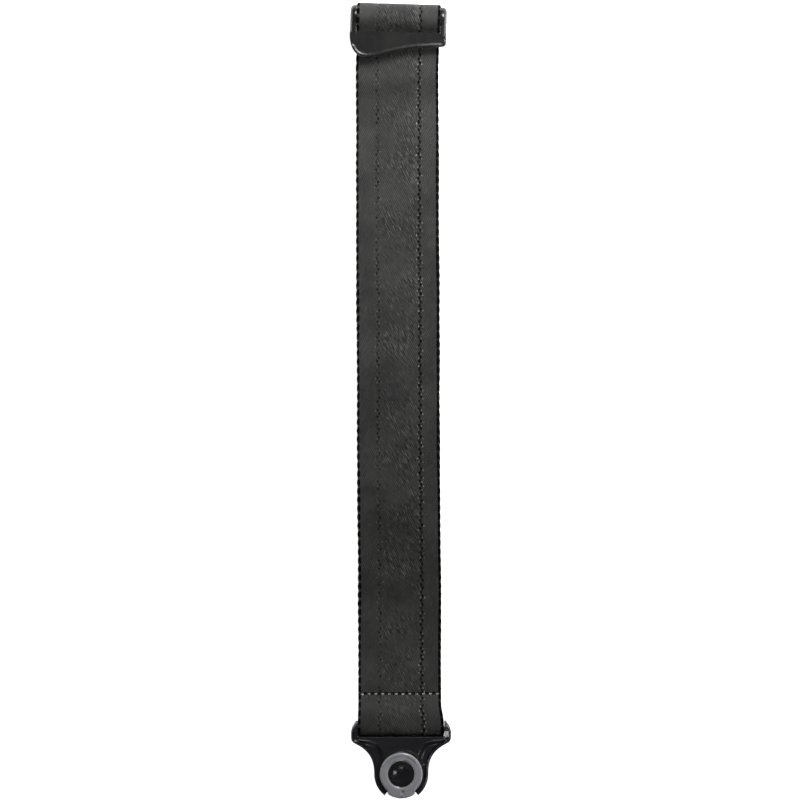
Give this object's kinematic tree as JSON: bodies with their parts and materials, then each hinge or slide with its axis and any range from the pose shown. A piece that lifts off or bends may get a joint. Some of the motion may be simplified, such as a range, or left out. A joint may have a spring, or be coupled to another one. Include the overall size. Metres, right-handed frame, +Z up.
{
  "type": "guitar strap",
  "caption": "Adjustable 50 mm woven guitar strap folded at its length slider, with a moulded end piece at each end that locks over a strap button and opens by turning a ring.",
  "frame": {"origin": "centre of the strap on the surface it lies on, as it lies flat and folded in half", "axes": "+X across the webbing, +Y along the strap towards the slider, +Z up from the surface"},
  "size_m": [0.0602, 0.4787, 0.0213],
  "materials": {
    "webbing_grey": "woven",
    "thread_grey": "glossy thread",
    "slider_black": "satin",
    "shell_black": "satin gloss",
    "back_black": "matte",
    "bar_steel": "brushed",
    "ring_grey": "satin",
    "cap_black": "gloss",
    "cam_white": "natural acetal",
    "jaw_steel": "brushed",
    "spring_steel": "bright wire",
    "screw_steel": "zinc plated"
  },
  "bodies": {
    "webbing": {"webbing": "webbing_grey", "front_end_stitching": "thread_grey", "slider_stitching": "thread_grey"},
    "slider": {"slider_frame": "slider_black"},
    "front_end": {"front_housing": "shell_black", "front_back_plate": "back_black", "front_loop_bar": "bar_steel", "front_return_spring": "spring_steel", "front_screws": "screw_steel"},
    "front_ring": {"front_release_ring": "ring_grey", "front_ring_cap": "cap_black", "front_cam_disc": "cam_white"},
    "front_left_jaw": {"front_left_jaw": "jaw_steel"},
    "front_right_jaw": {"front_right_jaw": "jaw_steel"},
    "rear_end": {"rear_housing": "shell_black", "rear_back_plate": "back_black", "rear_loop_bar": "bar_steel", "rear_return_spring": "spring_steel", "rear_screws": "screw_steel"},
    "rear_ring": {"rear_release_ring": "ring_grey", "rear_ring_cap": "cap_black", "rear_cam_disc": "cam_white"},
    "rear_left_jaw": {"rear_left_jaw": "jaw_steel"},
    "rear_right_jaw": {"rear_right_jaw": "jaw_steel"}
  },
  "joints": [
    {"name": "slider_tilt", "type": "hinge", "parent": "webbing", "child": "slider", "pos_m": [0.00035, 0.23078, 0.0082], "axis": [-0.9995, 0.0332, 0], "range_deg": [0, 25]},
    {"name": "front_end_swing", "type": "hinge", "parent": "webbing", "child": "front_end", "pos_m": [0, -0.1978, 0.01605], "axis": [-1, 0, 0], "range_deg": [0, 90]},
    {"name": "rear_end_swing", "type": "hinge", "parent": "webbing", "child": "rear_end", "pos_m": [0, -0.1978, 0.00525], "axis": [1, 0, 0], "range_deg": [0, 80]},
    {"name": "front_ring_turn", "type": "hinge", "parent": "front_end", "child": "front_ring", "pos_m": [0, -0.2243, 0.0198], "axis": [0, 0, 1], "range_deg": [0, 30], "stiffness_Nm_per_rad": 0.02, "springref_deg": -34.38},
    {"name": "front_left_jaw_slide", "type": "slide", "parent": "front_end", "child": "front_left_jaw", "axis": [-1, 0, 0], "range_m": [0, 0.0029]},
    {"name": "front_right_jaw_slide", "type": "slide", "parent": "front_end", "child": "front_right_jaw", "axis": [1, 0, 0], "range_m": [0, 0.0029]},
    {"name": "rear_ring_turn", "type": "hinge", "parent": "rear_end", "child": "rear_ring", "pos_m": [0, -0.2243, 0.0015], "axis": [0, 0, -1], "range_deg": [0, 30], "stiffness_Nm_per_rad": 0.02, "springref_deg": -34.38},
    {"name": "rear_left_jaw_slide", "type": "slide", "parent": "rear_end", "child": "rear_left_jaw", "axis": [1, 0, 0], "range_m": [0, 0.0029]},
    {"name": "rear_right_jaw_slide", "type": "slide", "parent": "rear_end", "child": "rear_right_jaw", "axis": [-1, 0, 0], "range_m": [0, 0.0029]}
  ],
  "couplings": [
    {"joint": "front_left_jaw_slide", "follows": "front_ring_turn", "m_per_rad": 0.0052521},
    {"joint": "front_right_jaw_slide", "follows": "front_ring_turn", "m_per_rad": 0.0052521},
    {"joint": "rear_left_jaw_slide", "follows": "rear_ring_turn", "m_per_rad": 0.0052521},
    {"joint": "rear_right_jaw_slide", "follows": "rear_ring_turn", "m_per_rad": 0.0052521}
  ]
}
